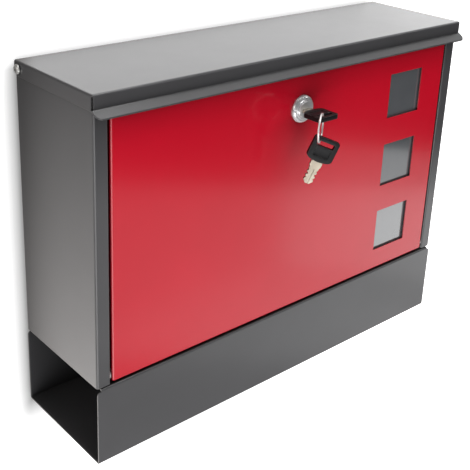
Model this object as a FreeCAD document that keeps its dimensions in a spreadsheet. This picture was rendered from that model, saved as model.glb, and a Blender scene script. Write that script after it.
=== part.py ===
import FreeCAD, Part
import Sketcher
import math
import os
import re
from FreeCAD import Placement, Rotation, Vector

# Wall mounted post box: folded steel casing, drop-down door with a cam lock, hinged lid cap and an
# open newspaper tube below. Millimetres, +Z up, front towards -Y, back on the plane y = 0.
# The origin is the centre of the four wall screw holes. Sub-parts are drawn with z = 0 at the
# underside of the box, and their Placement lowers them by the height of the wall screw centre.

SIZES = {
    # casing
    "sheet": 1.0,
    "bend": 1.6,
    "bodyWidth": 366.0,
    "bodyDepth": 97.0,
    "totalHeight": 276.0,
    "stripWidth": 11.2,
    "returnDepth": 12.0,
    "seam": 1.0,
    "cutOver": 1.0,
    # wall screws
    "wallInset": 53.0,
    "wallAbove": 32.0,
    "wallBelow": 14.5,
    "wallHoleRadius": 3.5,
    # newspaper tube
    "tubeHeight": 62.0,
    "tubeProud": 0.8,
    "tubeFlange": 22.0,
    "tubeCorner": 3.0,
    "tubeRelief": 3.2,
    "rivetRadius": 1.6,
    "rivetHead": 3.2,
    "rivetCrown": 1.9,
    "rivetDome": 1.0,
    "rivetRim": 0.3,
    "rivetTail": 2.6,
    "rivetTailTip": 1.3,
    "rivetTailLength": 3.0,
    "rivetEdge": 4.5,
    "rivetRear": 10.5,
    "rivetSpacing": 140.0,
    "floorFlange": 12.0,
    "floorSetback": 11.5,
    # lid
    "lidSide": 2.0,
    "lidOverhang": 2.2,
    "lidWallGap": 2.5,
    "lidHeight": 11.0,
    "lidRest": 0.3,
    "lidCorner": 6.0,
    "lipOut": 6.5,
    "lipDrop": 4.0,
    "lipCorner": 4.5,
    "cornerSlit": 1.2,
    "pivotBack": 7.5,
    "pivotDown": 5.5,
    "earRadius": 4.2,
    "backDrop": 6.0,
    "pivotRadius": 2.0,
    "pivotPlay": 0.05,
    "screwHeadRadius": 3.5,
    "screwHeadHeight": 2.0,
    "screwHeadTop": 1.9,
    "screwHeadShoulder": 2.9,
    "screwHeadCrown": 0.5,
    "screwHeadRim": 0.8,
    "crossArm": 1.7,
    "crossHalf": 0.5,
    "crossDepth": 1.2,
    "screwLength": 9.0,
    "screwGap": 0.3,
    "nutAcross": 7.0,
    "nutHeight": 3.2,
    "washerRadius": 3.9,
    "washerThick": 0.6,
    # door
    "doorGap": 1.5,
    "doorLift": 0.8,
    "doorDown": 16.0,
    "doorDepth": 10.0,
    "hingeBehind": 4.5,
    "hingeAbove": 5.0,
    "pinRadius": 2.0,
    "pinPlay": 0.05,
    "pinCollar": 3.5,
    "pinCollarPlay": 0.5,
    "pinHead": 2.7,
    "pinHeadTop": 2.1,
    "pinHeadRim": 0.6,
    "pinHeadHeight": 1.2,
    "pinReach": 3.5,
    # windows
    "windowWidth": 40.0,
    "windowGap": 23.3,
    "windowInset": 41.3,
    "windowAbove": 18.8,
    "windowBelow": 18.3,
    "paneMargin": 6.0,
    "paneThick": 2.0,
    "tapeThick": 1.0,
    "tapeSetback": 3.0,
    # rail and letter slot
    "railGap": 2.0,
    "railDepth": 15.0,
    "railRear": 16.5,
    "letterSlot": 34.0,
    "deckDown": 12.5,
    "guardDrop": 18.0,
    "deckTab": 12.0,
    "tabSetback": 3.0,
    # cam lock
    "lockDown": 28.0,
    "bezelRadius": 10.6,
    "bezelThick": 2.6,
    "bezelEdge": 0.9,
    "bezelSlope": 1.8,
    "bezelCrown": 9.0,
    "bezelBreak": 10.1,
    "bezelLip": 0.6,
    "bezelLipWidth": 0.9,
    "bezelLipFoot": 1.3,
    "indexWidth": 1.6,
    "indexReach": 2.2,
    "indexDepth": 1.3,
    "lockRadius": 9.5,
    "lockPlay": 0.1,
    "lockLength": 16.0,
    "plugRadius": 6.5,
    "plugPlay": 0.05,
    "plugProud": 4.6,
    "tangSide": 7.5,
    "camThick": 2.0,
    "camGap": 0.3,
    "camReach": 34.0,
    "camWidth": 13.0,
    "camTail": 7.1,
    "camTipRound": 4.5,
    "camTailRound": 3.9,
    "camWasherRadius": 5.3,
    "camScrewRadius": 2.0,
    "camScrewPlay": 0.02,
    "camScrewEnd": 0.5,
    "camHeadRadius": 4.2,
    "camHeadTop": 2.5,
    "camHeadRim": 1.2,
    "camHeadHeight": 2.4,
    "lockNutAcross": 24.0,
    "lockNutThick": 3.0,
    # keys
    "bladeThick": 2.0,
    "bladeWidth": 7.4,
    "bladeLength": 13.8,
    "bladeTip": 2.4,
    "bladeTipHalf": 1.5,
    "bladeTang": 8.0,
    "grooveHalf": 0.7,
    "grooveDepth": 0.55,
    "grooveStart": 1.5,
    "cutStart": 3.0,
    "cutPitch": 3.1,
    "cutHalf": 1.4,
    "cutRootHalf": 0.5,
    "shoulderWidth": 8.8,
    "shoulderLength": 4.3,
    "shoulderRound": 0.5,
    "bowWidth": 20.0,
    "bowLength": 19.0,
    "bowBelly": 2.3,
    "bellyStep": 0.7,
    "bowThick": 3.6,
    "bowCorner": 2.0,
    "bowSlotLength": 13.5,
    "bowSlotWidth": 3.6,
    "slotCorner": 0.8,
    "bowBar": 3.0,
    "bowRecess": 0.4,
    "panelWidth": 12.0,
    "panelHeight": 7.0,
    "panelGap": 0.9,
    "keyPlay": 0.2,
    # ring
    "ringRadius": 10.4,
    "wireRadius": 0.75,
    "ringPlay": 0.3,
    "ringDrop": 5.4,
    "ringOffset": -1.5,
    "ringShift": 0.1,
    "ringTurn": 35.0,
    "spareTurn": -34.0,
    "spareTilt": 22.0,
}

# Depths of the cuts along a key blade, from the shoulder to the tip
CUT_DEPTHS = (0.6, 1.1, 0.8)

# Angles, in degrees, of the points on the rounded corner of the lid's lip
LIP_CURVE = range(0, 91, 15)

# Sizes that follow from the driving ones, as expressions
HALF_BODY = "bodyWidth / 2"
BODY_BOTTOM = "(tubeHeight + seam)"
BODY_TOP = "(totalHeight - sheet - lidRest)"
FRAME_HALF = "(bodyWidth / 2 - stripWidth)"
DOOR_TOP = "(totalHeight - doorDown)"
LOCK_HEIGHT = "(totalHeight - doorDown - lockDown)"
LID_HALF = "(bodyWidth / 2 + lidSide)"
LID_FRONT = "(bodyDepth + lidOverhang)"
LID_UNDER = "(totalHeight - lidHeight)"
PIVOT_HEIGHT = "(totalHeight - pivotDown)"
BACK_TOP = "(totalHeight - pivotDown - backDrop)"
WALL_HALF = "(bodyWidth / 2 - wallInset)"
WALL_LOW = "(tubeHeight + seam + wallAbove)"
WALL_HIGH = "(totalHeight - pivotDown - backDrop - wallBelow)"
WALL_CENTRE = f"(({WALL_LOW} + {WALL_HIGH}) / 2)"
TUBE_FRONT = "(bodyDepth + tubeProud)"
DOOR_HALF = "(bodyWidth / 2 - stripWidth - doorGap)"
DOOR_BOTTOM = "(tubeHeight + seam + doorLift)"
HINGE_DEPTH = "(bodyDepth - hingeBehind)"
HINGE_HEIGHT = "(tubeHeight + seam + doorLift + hingeAbove)"
RAIL_BOTTOM = f"({DOOR_TOP} + railGap)"
WINDOW_LOW = f"({DOOR_BOTTOM} + windowAbove)"
WINDOW_HEIGHT = f"(({DOOR_TOP} - windowBelow - 2 * windowGap - {WINDOW_LOW}) / 3)"
WINDOW_LEFT = "(bodyWidth / 2 - windowInset - windowWidth)"
WINDOW_RIGHT = "(bodyWidth / 2 - windowInset)"
DECK_TOP = "(totalHeight - sheet - deckDown)"
DECK_FRONT = "(bodyDepth - railDepth - letterSlot)"
FLOOR_FRONT = "(bodyDepth - floorSetback)"
RIVET_FRONT = "(bodyDepth - floorSetback - rivetEdge)"
RIVET_BACK = "(sheet + rivetRear)"
CAM_BACK = "(lockLength + camGap + camThick)"

PLANES = {"plan": "XY_Plane", "front": "XZ_Plane", "side": "YZ_Plane"}

doc = FreeCAD.newDocument("PostBox")
sizes = doc.addObject("Spreadsheet::Sheet", "Sizes")
parts = []


def writeSizes():
    for row, (name, number) in enumerate(SIZES.items(), start=1):
        sizes.set(f"A{row}", name)
        sizes.set(f"B{row}", str(number))
        sizes.setAlias(f"B{row}", name)
    doc.recompute()


def value(expression):
    return float(sizes.evalExpression(expression))


def bound(expression):
    return re.sub(r"[A-Za-z]\w*(?!\w*\()", lambda word: "Sizes." + word.group(), expression)


def newBody(name):
    body = doc.addObject("PartDesign::Body", name)
    body.Label = name
    parts.append(body)
    return body


def seat(part, x="0", y="0", z="0", turn=Rotation()):
    """Places a sub-part: its own origin goes to (x, y, z), with z counted from the underside of the box."""
    part.Placement = Placement(Vector(), turn)
    part.setExpression("Placement.Base.x", bound(x))
    part.setExpression("Placement.Base.y", bound(y))
    part.setExpression("Placement.Base.z", bound(f"{z} - {WALL_CENTRE}"))


def rectangle(left, bottom, right, top):
    return [(left, bottom), (right, bottom), (right, top), (left, top)]


def centred(halfWidth, halfHeight):
    return rectangle(f"-{halfWidth}", f"-{halfHeight}", halfWidth, halfHeight)


def circle(x, y, radius):
    return {"x": x, "y": y, "radius": radius}


def fixPoint(sketch, edge, point, x, y):
    for kind, size in (("DistanceX", x), ("DistanceY", y)):
        rule = sketch.addConstraint(Sketcher.Constraint(kind, -1, 1, edge, point, value(size)))
        sketch.setExpression(f"Constraints[{rule}]", bound(size))


def drawOutline(sketch, corners):
    points = [Vector(value(x), value(y), 0) for x, y in corners]
    first = sketch.GeometryCount
    count = len(points)
    for index in range(count):
        sketch.addGeometry(Part.LineSegment(points[index], points[(index + 1) % count]))
    for index in range(count):
        following = first + (index + 1) % count
        sketch.addConstraint(Sketcher.Constraint("Coincident", first + index, 2, following, 1))
    for index, (x, y) in enumerate(corners):
        fixPoint(sketch, first + index, 1, x, y)


def drawCircle(sketch, ring):
    centre = Vector(value(ring["x"]), value(ring["y"]), 0)
    edge = sketch.addGeometry(Part.Circle(centre, Vector(0, 0, 1), value(ring["radius"])))
    fixPoint(sketch, edge, 3, ring["x"], ring["y"])
    rule = sketch.addConstraint(Sketcher.Constraint("Radius", edge, value(ring["radius"])))
    sketch.setExpression(f"Constraints[{rule}]", bound(ring["radius"]))


def newSketch(body, plane, offset, shapes):
    """Sketch on one of the body's own planes; offset runs along +Z, towards the front or along +X."""
    sketch = body.newObject("Sketcher::SketchObject", body.Name + "Sketch")
    support = [item for item in body.Origin.OriginFeatures if item.Role == PLANES[plane]][0]
    sketch.AttachmentSupport = (support, [""])
    sketch.MapMode = "FlatFace"
    sketch.setExpression("AttachmentOffset.Base.z", bound(offset))
    for shape in shapes:
        if isinstance(shape, dict):
            drawCircle(sketch, shape)
        else:
            drawOutline(sketch, shape)
    return sketch


def pad(body, plane, offset, shapes, length, symmetric=False):
    feature = body.newObject("PartDesign::Pad", body.Name + "Pad")
    feature.Profile = newSketch(body, plane, offset, shapes)
    feature.setExpression("Length", bound(length))
    if symmetric:
        feature.SideType = "Symmetric"
    doc.recompute()
    return feature


def pocket(body, plane, offset, shapes, length, symmetric=False):
    """Cuts from the sketch against its offset direction: downwards, towards the wall or towards -X."""
    before = body.Shape.Volume
    feature = body.newObject("PartDesign::Pocket", body.Name + "Pocket")
    feature.Profile = newSketch(body, plane, offset, shapes)
    feature.setExpression("Length", bound(length))
    if symmetric:
        feature.SideType = "Symmetric"
    doc.recompute()
    if body.Shape.Volume > before - 0.001:
        raise RuntimeError(f"{body.Label}: {feature.Name} cuts nothing")
    return feature


def revolve(body, profile, axis):
    feature = body.newObject("PartDesign::Revolution", body.Name + "Turned")
    sketch = newSketch(body, "plan", "0", [profile])
    feature.Profile = sketch
    feature.ReferenceAxis = (sketch, [axis])
    feature.Angle = 360
    doc.recompute()
    return feature


def edgesAlong(body, axis, places):
    """Names of the straight edges parallel to axis that pass through one of the places.

    A place holds the expressions of the two other coordinates, in X, Y, Z order.
    """
    across = [item for item in "xyz" if item != axis]
    wanted = [(value(first), value(second)) for first, second in places]
    names = []
    for number, edge in enumerate(body.Tip.Shape.Edges, start=1):
        ends = [vertex.Point for vertex in edge.Vertexes]
        if len(ends) != 2 or edge.Curve.TypeId != "Part::GeomLine":
            continue
        spots = [[getattr(end, item) for item in across] for end in ends]
        if math.dist(spots[0], spots[1]) > 0.001:
            continue
        if any(math.dist(spots[0], place) < 0.01 for place in wanted):
            names.append(f"Edge{number}")
    if not names:
        raise RuntimeError(f"{body.Label}: no edge along {axis} at {places}")
    return names


def roundEdges(body, axis, places, radius):
    names = edgesAlong(body, axis, places)
    feature = body.newObject("PartDesign::Fillet", body.Name + "Fillet")
    feature.Base = (feature.BaseFeature, names)
    feature.setExpression("Radius", bound(radius))
    doc.recompute()
    return feature


def bothSides(x, y):
    return [(x, y), (f"-{x}", y)]


def bendAlong(body, axis, outer, inner):
    """Rounds a sheet bend: the outer edges at the bend radius, the inner ones at one sheet less."""
    roundEdges(body, axis, outer, "bend")
    roundEdges(body, axis, inner, "(bend - sheet)")


def bodyShell():
    """Casing: back, sides, front strips and their inward returns, folded from one sheet."""
    body = newBody("body_shell")
    height = f"({BODY_TOP} - {BODY_BOTTOM})"
    inside = f"({HALF_BODY} - sheet)"
    pad(body, "plan", BODY_BOTTOM, [rectangle(f"-{HALF_BODY}", "-bodyDepth", HALF_BODY, "0")], height)
    hollow = rectangle(f"-{inside}", "-(bodyDepth - sheet)", inside, "-sheet")
    pocket(body, "plan", BODY_TOP, [hollow], height)
    mouth = rectangle(f"-{FRAME_HALF}", BODY_BOTTOM, FRAME_HALF, BODY_TOP)
    pocket(body, "front", "bodyDepth", [mouth], "sheet")
    rear = "-(bodyDepth - returnDepth)"
    returns = [
        rectangle(FRAME_HALF, "-bodyDepth", f"({FRAME_HALF} + sheet)", rear),
        rectangle(f"-({FRAME_HALF} + sheet)", "-bodyDepth", f"-{FRAME_HALF}", rear),
    ]
    pad(body, "plan", BODY_BOTTOM, returns, height)
    # the lid turns down behind its pivot, so the back ends below it and the sides end in round ears
    earBack = "(pivotBack - earRadius)"
    above = rectangle(f"-{HALF_BODY}", BACK_TOP, HALF_BODY, BODY_TOP)
    pocket(body, "front", earBack, [above], earBack)
    roundEdges(body, "x", [(f"-{earBack}", BODY_TOP)], "(earRadius - 0.01)")
    bendAlong(
        body,
        "z",
        bothSides(HALF_BODY, "-bodyDepth") + bothSides(HALF_BODY, "0") + bothSides(FRAME_HALF, "-bodyDepth"),
        bothSides(inside, "-(bodyDepth - sheet)")
        + bothSides(inside, "-sheet")
        + bothSides(f"({FRAME_HALF} + sheet)", "-(bodyDepth - sheet)"),
    )
    corners = [(x, z) for z in (WALL_LOW, WALL_HIGH) for x in (f"-{WALL_HALF}", WALL_HALF)]
    holes = [circle(x, z, "wallHoleRadius") for x, z in corners]
    pocket(body, "front", "(2 * sheet)", holes, "(2 * sheet)")
    pivots = circle("-pivotBack", PIVOT_HEIGHT, "(pivotRadius + pivotPlay)")
    pocket(body, "side", "0", [pivots], "(2 * bodyWidth)", symmetric=True)
    pins = circle(f"-{HINGE_DEPTH}", HINGE_HEIGHT, "(pinRadius + pinPlay)")
    pocket(body, "side", "0", [pins], f"(2 * {FRAME_HALF} + 4 * sheet)", symmetric=True)
    seat(body)


def floorPlate():
    """Tray with flanges against the sides and the back, riveted to the newspaper tube."""
    body = newBody("floor_plate")
    half = f"({HALF_BODY} - sheet)"
    inside = f"({HALF_BODY} - 2 * sheet)"
    top = "(tubeHeight + floorFlange)"
    pad(body, "plan", "tubeHeight", [rectangle(f"-{half}", f"-{FLOOR_FRONT}", half, "-sheet")], "floorFlange")
    hollow = rectangle(f"-{inside}", f"-({FLOOR_FRONT} + sheet)", inside, "-(2 * sheet)")
    pocket(body, "plan", top, [hollow], "(floorFlange - sheet)")
    bendAlong(
        body,
        "y",
        bothSides(half, "tubeHeight"),
        bothSides(inside, "(tubeHeight + sheet)"),
    )
    roundEdges(body, "z", bothSides(half, "-sheet"), "bend")
    pocket(body, "plan", f"{BODY_BOTTOM} + sheet", rivetHoles(), "(3 * sheet)")
    seat(body)


def rivetPlaces():
    return [
        (f"{column} * rivetSpacing", f"-{depth}")
        for column in (-1, 0, 1)
        for depth in (RIVET_FRONT, RIVET_BACK)
    ]


def rivetHoles():
    return [circle(x, y, "rivetRadius") for x, y in rivetPlaces()]


def paperTube():
    """Newspaper tube: one sheet folded to a C, open at both ends, its flanges under the floor."""
    body = newBody("paper_tube")
    front = f"-{TUBE_FRONT}"
    inner = f"-({TUBE_FRONT} - sheet)"
    pad(body, "side", "0", [rectangle(front, "0", "0", "tubeHeight")], "bodyWidth", symmetric=True)
    hollow = rectangle(inner, "sheet", "-sheet", "(tubeHeight - sheet)")
    pocket(body, "side", "0", [hollow], "(2 * bodyWidth)", symmetric=True)
    gap = rectangle(f"-{HALF_BODY}", f"-({TUBE_FRONT} - tubeFlange)", HALF_BODY, "-tubeFlange")
    pocket(body, "plan", "tubeHeight", [gap], "(2 * sheet)")
    corners = [
        rectangle(f"-{HALF_BODY}", front, f"-({HALF_BODY} - tubeRelief)", "0"),
        rectangle(f"({HALF_BODY} - tubeRelief)", front, HALF_BODY, "0"),
    ]
    pocket(body, "plan", "tubeHeight", corners, "bend")
    under = "(tubeHeight - sheet)"
    bendAlong(
        body,
        "x",
        [(front, "tubeHeight"), ("0", "tubeHeight"), (front, "0"), ("0", "0")],
        [(inner, under), ("-sheet", under), (inner, "sheet"), ("-sheet", "sheet")],
    )
    roundEdges(body, "y", bothSides(HALF_BODY, "(tubeHeight - bend)"), "tubeCorner")
    pocket(body, "plan", "(tubeHeight + sheet)", rivetHoles(), "(3 * sheet)")
    seat(body)


def tubeRivets():
    """Six rivets with a domed head in the tube and a formed tail in the box."""
    outline = [
        ("0", "-rivetDome"),
        ("rivetCrown", "-rivetDome"),
        ("rivetHead", "-rivetRim"),
        ("rivetHead", "0"),
        ("rivetRadius", "0"),
        ("rivetRadius", "(2 * sheet)"),
        ("rivetTail", "(2 * sheet)"),
        ("rivetTail", "(2 * sheet + rivetTailLength / 2)"),
        ("rivetTailTip", "(2 * sheet + rivetTailLength)"),
        ("0", "(2 * sheet + rivetTailLength)"),
        ("0", "-rivetDome"),
    ]
    profile = Part.makePolygon([Vector(value(radius), 0, value(height)) for radius, height in outline])
    rivet = Part.Face(profile).revolve(Vector(), Vector(0, 0, 1), 360)
    base = value("tubeHeight - sheet")
    group = [rivet.translated(Vector(value(x), value(y), base)) for x, y in rivetPlaces()]
    rivets = doc.addObject("Part::Feature", "tube_rivets")
    rivets.Label = "tube_rivets"
    rivets.Shape = Part.makeCompound(group)
    parts.append(rivets)
    seat(rivets)


def topRail():
    """Rail over the door: an inverted U, open below, its rear wall longer to catch the lock cam."""
    body = newBody("top_rail")
    front = "-bodyDepth"
    rear = "-(bodyDepth - railDepth)"
    frontIn = "-(bodyDepth - sheet)"
    rearIn = "-(bodyDepth - railDepth + sheet)"
    under = f"({BODY_TOP} - sheet)"
    low = f"({BODY_TOP} - railRear)"
    profile = [
        (front, RAIL_BOTTOM),
        (frontIn, RAIL_BOTTOM),
        (frontIn, under),
        (rearIn, under),
        (rearIn, low),
        (rear, low),
        (rear, BODY_TOP),
        (front, BODY_TOP),
    ]
    pad(body, "side", "0", [profile], f"(2 * {FRAME_HALF})", symmetric=True)
    bendAlong(
        body,
        "x",
        [(front, BODY_TOP), (rear, BODY_TOP)],
        [(frontIn, under), (rearIn, under)],
    )
    seat(body)


def slotPlate():
    """Deck behind the letter slot, with a turned-down guard edge and welding tabs on the sides."""
    body = newBody("slot_plate")
    half = f"({HALF_BODY} - sheet)"
    inside = f"({HALF_BODY} - 2 * sheet)"
    front = f"-{DECK_FRONT}"
    low = f"({DECK_TOP} - guardDrop)"
    profile = [
        ("-sheet", DECK_TOP),
        (front, DECK_TOP),
        (front, low),
        (f"-({DECK_FRONT} - sheet)", low),
        (f"-({DECK_FRONT} - sheet)", f"({DECK_TOP} - sheet)"),
        ("-sheet", f"({DECK_TOP} - sheet)"),
    ]
    pad(body, "side", "0", [profile], f"(2 * {half})", symmetric=True)
    tabFront = f"-({DECK_FRONT} - tabSetback)"
    tabRear = "-(sheet + tabSetback)"
    tabs = [
        rectangle(inside, tabFront, half, tabRear),
        rectangle(f"-{half}", tabFront, f"-{inside}", tabRear),
    ]
    pad(body, "plan", f"({DECK_TOP} - deckTab)", tabs, "(deckTab - sheet)")
    roundEdges(body, "z", bothSides(half, "-sheet"), "bend")
    bendAlong(
        body,
        "x",
        [(front, DECK_TOP)],
        [(f"-({DECK_FRONT} - sheet)", f"({DECK_TOP} - sheet)")],
    )
    seat(body)


def lid():
    """Lid cap: top, side flanges, front flange and the lip that leads rain off the door."""
    body = newBody("lid")
    front = f"-{LID_FRONT}"
    inside = f"({LID_HALF} - sheet)"
    pad(body, "plan", LID_UNDER, [rectangle(f"-{LID_HALF}", front, LID_HALF, "-lidWallGap")], "lidHeight")
    hollow = rectangle(f"-{inside}", f"-({LID_FRONT} - sheet)", inside, "0")
    pocket(body, "plan", "(totalHeight - sheet)", [hollow], "lidHeight")
    lip = [
        (front, f"({LID_UNDER} + sheet)"),
        (f"-({LID_FRONT} + lipOut)", f"({LID_UNDER} + sheet - lipDrop)"),
        (f"-({LID_FRONT} + lipOut)", f"({LID_UNDER} - lipDrop)"),
        (f"-({LID_FRONT} - sheet)", LID_UNDER),
        (f"-({LID_FRONT} - sheet)", f"({LID_UNDER} + sheet)"),
    ]
    pad(body, "side", "0", [lip], f"(2 * {LID_HALF})", symmetric=True)
    tip = f"-({LID_FRONT} + lipOut)"
    curve = [
        (f"({LID_HALF} - lipCorner * (1 - cos({angle})))", f"({tip} + lipCorner * (1 - sin({angle})))")
        for angle in LIP_CURVE
    ]
    outside = [
        (f"({LID_HALF} - lipCorner)", f"({tip} - cutOver)"),
        (f"({LID_HALF} + cutOver)", f"({tip} - cutOver)"),
        (f"({LID_HALF} + cutOver)", f"({tip} + lipCorner)"),
    ]
    ends = [[(side + x, y) for x, y in curve + outside] for side in ("", "-")]
    pocket(body, "plan", f"({LID_UNDER} + sheet)", ends, "(2 * lipDrop)")
    roundEdges(body, "x", [("-lidWallGap", LID_UNDER)], "lidCorner")
    bendAlong(body, "x", [(front, "totalHeight")], [(f"-({LID_FRONT} - sheet)", "(totalHeight - sheet)")])
    bendAlong(body, "y", bothSides(LID_HALF, "totalHeight"), bothSides(inside, "(totalHeight - sheet)"))
    # the side and front flanges meet at an open corner below the top bend
    slit = f"({LID_HALF} - cornerSlit)"
    slitRear = f"-({LID_FRONT} - cornerSlit)"
    corners = [
        rectangle(slit, front, LID_HALF, slitRear),
        rectangle(f"-{LID_HALF}", front, f"-{slit}", slitRear),
    ]
    pocket(body, "plan", "(totalHeight - bend)", corners, "(lidHeight - bend - sheet)")
    pivot = circle("-pivotBack", PIVOT_HEIGHT, "(pivotRadius + pivotPlay)")
    pocket(body, "side", "0", [pivot], "(2 * bodyWidth)", symmetric=True)
    seat(body)


def onPivot(body, side):
    """Seats a piece drawn along +X from the outer face of the side sheet, on the lid's pivot."""
    turn = Rotation(Vector(0, 0, 1), 0 if side > 0 else 180)
    seat(body, f"{side} * {HALF_BODY}", "-pivotBack", PIVOT_HEIGHT, turn)


def lidScrew(name, side):
    """Pan head screw that the lid turns on, with a cross recess."""
    body = newBody(name)
    under = "(lidSide + screwGap)"
    outer = "(lidSide + screwGap + screwHeadHeight)"
    end = "-(screwLength - lidSide)"
    profile = [
        (end, "0"),
        (outer, "0"),
        (outer, "screwHeadTop"),
        (f"({outer} - screwHeadCrown)", "screwHeadShoulder"),
        (f"({under} + screwHeadRim)", "screwHeadRadius"),
        (under, "screwHeadRadius"),
        (under, "pivotRadius"),
        (end, "pivotRadius"),
    ]
    revolve(body, profile, "H_Axis")
    cross = [
        ("-crossArm", "-crossHalf"),
        ("-crossHalf", "-crossHalf"),
        ("-crossHalf", "-crossArm"),
        ("crossHalf", "-crossArm"),
        ("crossHalf", "-crossHalf"),
        ("crossArm", "-crossHalf"),
        ("crossArm", "crossHalf"),
        ("crossHalf", "crossHalf"),
        ("crossHalf", "crossArm"),
        ("-crossHalf", "crossArm"),
        ("-crossHalf", "crossHalf"),
        ("-crossArm", "crossHalf"),
    ]
    pocket(body, "side", outer, [cross], "crossDepth")
    onPivot(body, side)


def lidWasher(name, side):
    body = newBody(name)
    ring = [circle("0", "0", "washerRadius"), circle("0", "0", "(pivotRadius + pivotPlay)")]
    pad(body, "side", "0", ring, "washerThick")
    onPivot(body, side)


def hexagon(across):
    corner = f"({across} / sqrt(3))"
    half = f"({corner} / 2)"
    flat = f"({across} / 2)"
    return [
        (corner, "0"),
        (half, flat),
        (f"-{half}", flat),
        (f"-{corner}", "0"),
        (f"-{half}", f"-{flat}"),
        (half, f"-{flat}"),
    ]


def lidNut(name, side):
    body = newBody(name)
    outline = [hexagon("nutAcross"), circle("0", "0", "pivotRadius")]
    pad(body, "side", "-(sheet + nutHeight)", outline, "nutHeight")
    onPivot(body, side)


def doorPanel():
    """Door: a shallow tray with three windows, the lock hole and pin holes in its side returns."""
    body = newBody("door_panel")
    inside = f"({DOOR_HALF} - sheet)"
    outline = rectangle(f"-{DOOR_HALF}", DOOR_BOTTOM, DOOR_HALF, DOOR_TOP)
    pad(body, "front", "(bodyDepth - doorDepth)", [outline], "doorDepth")
    hollow = rectangle(f"-{inside}", f"({DOOR_BOTTOM} + sheet)", inside, f"({DOOR_TOP} - sheet)")
    pocket(body, "front", "(bodyDepth - sheet)", [hollow], "doorDepth")
    pocket(body, "front", "(bodyDepth + cutOver)", windows("0"), "(2 * sheet + cutOver)")
    lockHole = circle("0", LOCK_HEIGHT, "lockRadius")
    pocket(body, "front", "(bodyDepth + cutOver)", [lockHole], "(2 * sheet + cutOver)")
    pin = circle(f"-{HINGE_DEPTH}", HINGE_HEIGHT, "(pinRadius + pinPlay)")
    pocket(body, "side", "0", [pin], "(2 * bodyWidth)", symmetric=True)
    bendAlong(
        body,
        "z",
        bothSides(DOOR_HALF, "-bodyDepth"),
        bothSides(inside, "-(bodyDepth - sheet)"),
    )
    skin = "-(bodyDepth - sheet)"
    bendAlong(
        body,
        "x",
        [("-bodyDepth", DOOR_TOP), ("-bodyDepth", DOOR_BOTTOM)],
        [(skin, f"({DOOR_TOP} - sheet)"), (skin, f"({DOOR_BOTTOM} + sheet)")],
    )
    seat(body)


def windows(margin):
    left = f"({WINDOW_LEFT} - {margin})"
    right = f"({WINDOW_RIGHT} + {margin})"
    outlines = []
    for row in (0, 1, 2):
        low = f"({WINDOW_LOW} + {row} * ({WINDOW_HEIGHT} + windowGap))"
        high = f"({low} + {WINDOW_HEIGHT} + {margin})"
        outlines.append(rectangle(left, f"({low} - {margin})", right, high))
    return outlines


def paneOutline():
    return rectangle(
        f"({WINDOW_LEFT} - paneMargin)",
        f"({WINDOW_LOW} - paneMargin)",
        f"({WINDOW_RIGHT} + paneMargin)",
        f"({DOOR_TOP} - windowBelow + paneMargin)",
    )


def windowPane():
    body = newBody("window_pane")
    front = "(bodyDepth - sheet - tapeThick)"
    pad(body, "front", f"({front} - paneThick)", [paneOutline()], "paneThick")
    seat(body)


def paneTape():
    """Tape frame between the door and the pane, set back from the window edges."""
    body = newBody("pane_tape")
    shapes = [paneOutline()] + windows("tapeSetback")
    pad(body, "front", "(bodyDepth - sheet - tapeThick)", shapes, "tapeThick")
    seat(body)


def doorPin(name, side):
    """Hinge pin riveted into the casing's return; its collar keeps the door in the middle."""
    body = newBody(name)
    profile = [
        ("-(doorGap + pinReach)", "0"),
        ("(sheet + pinHeadHeight)", "0"),
        ("(sheet + pinHeadHeight)", "pinHeadTop"),
        ("(sheet + pinHeadRim)", "pinHead"),
        ("sheet", "pinHead"),
        ("sheet", "pinRadius"),
        ("0", "pinRadius"),
        ("0", "pinCollar"),
        ("-(doorGap - pinCollarPlay)", "pinCollar"),
        ("-(doorGap - pinCollarPlay)", "pinRadius"),
        ("-(doorGap + pinReach)", "pinRadius"),
    ]
    revolve(body, profile, "H_Axis")
    turn = Rotation(Vector(0, 0, 1), 0 if side > 0 else 180)
    seat(body, f"{side} * {FRAME_HALF}", f"-{HINGE_DEPTH}", HINGE_HEIGHT, turn)


def onLock(body):
    """Seats a lock piece, drawn around the lock's axis with y = 0 at the door's outer face."""
    seat(body, "0", "-bodyDepth", LOCK_HEIGHT)


def lockHousing():
    """Turned housing: a stepped bezel with two index notches, and a bore that carries the plug."""
    body = newBody("lock_housing")
    bore = "(plugRadius + plugPlay)"
    profile = [
        (bore, "lockLength"),
        (bore, "-(bezelThick + bezelLip)"),
        ("(plugRadius + bezelLipWidth)", "-(bezelThick + bezelLip)"),
        ("(plugRadius + bezelLipFoot)", "-bezelThick"),
        ("bezelCrown", "-bezelThick"),
        ("bezelBreak", "-bezelSlope"),
        ("bezelRadius", "-bezelEdge"),
        ("bezelRadius", "0"),
        ("(lockRadius - lockPlay)", "0"),
        ("(lockRadius - lockPlay)", "lockLength"),
    ]
    revolve(body, profile, "V_Axis")
    inner = "(bezelRadius - indexReach)"
    outer = "(bezelRadius + cutOver)"
    half = "(indexWidth / 2)"
    upper = rectangle(f"-{half}", inner, half, outer)
    side = rectangle(f"-{outer}", f"-{half}", f"-{inner}", half)
    pocket(body, "front", "bezelThick", [upper, side], "indexDepth")
    onLock(body)


def lockNut():
    body = newBody("lock_nut")
    outline = [hexagon("lockNutAcross"), circle("0", "0", "(lockRadius - lockPlay)")]
    pad(body, "front", "-(sheet + lockNutThick)", outline, "lockNutThick")
    onLock(body)


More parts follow.
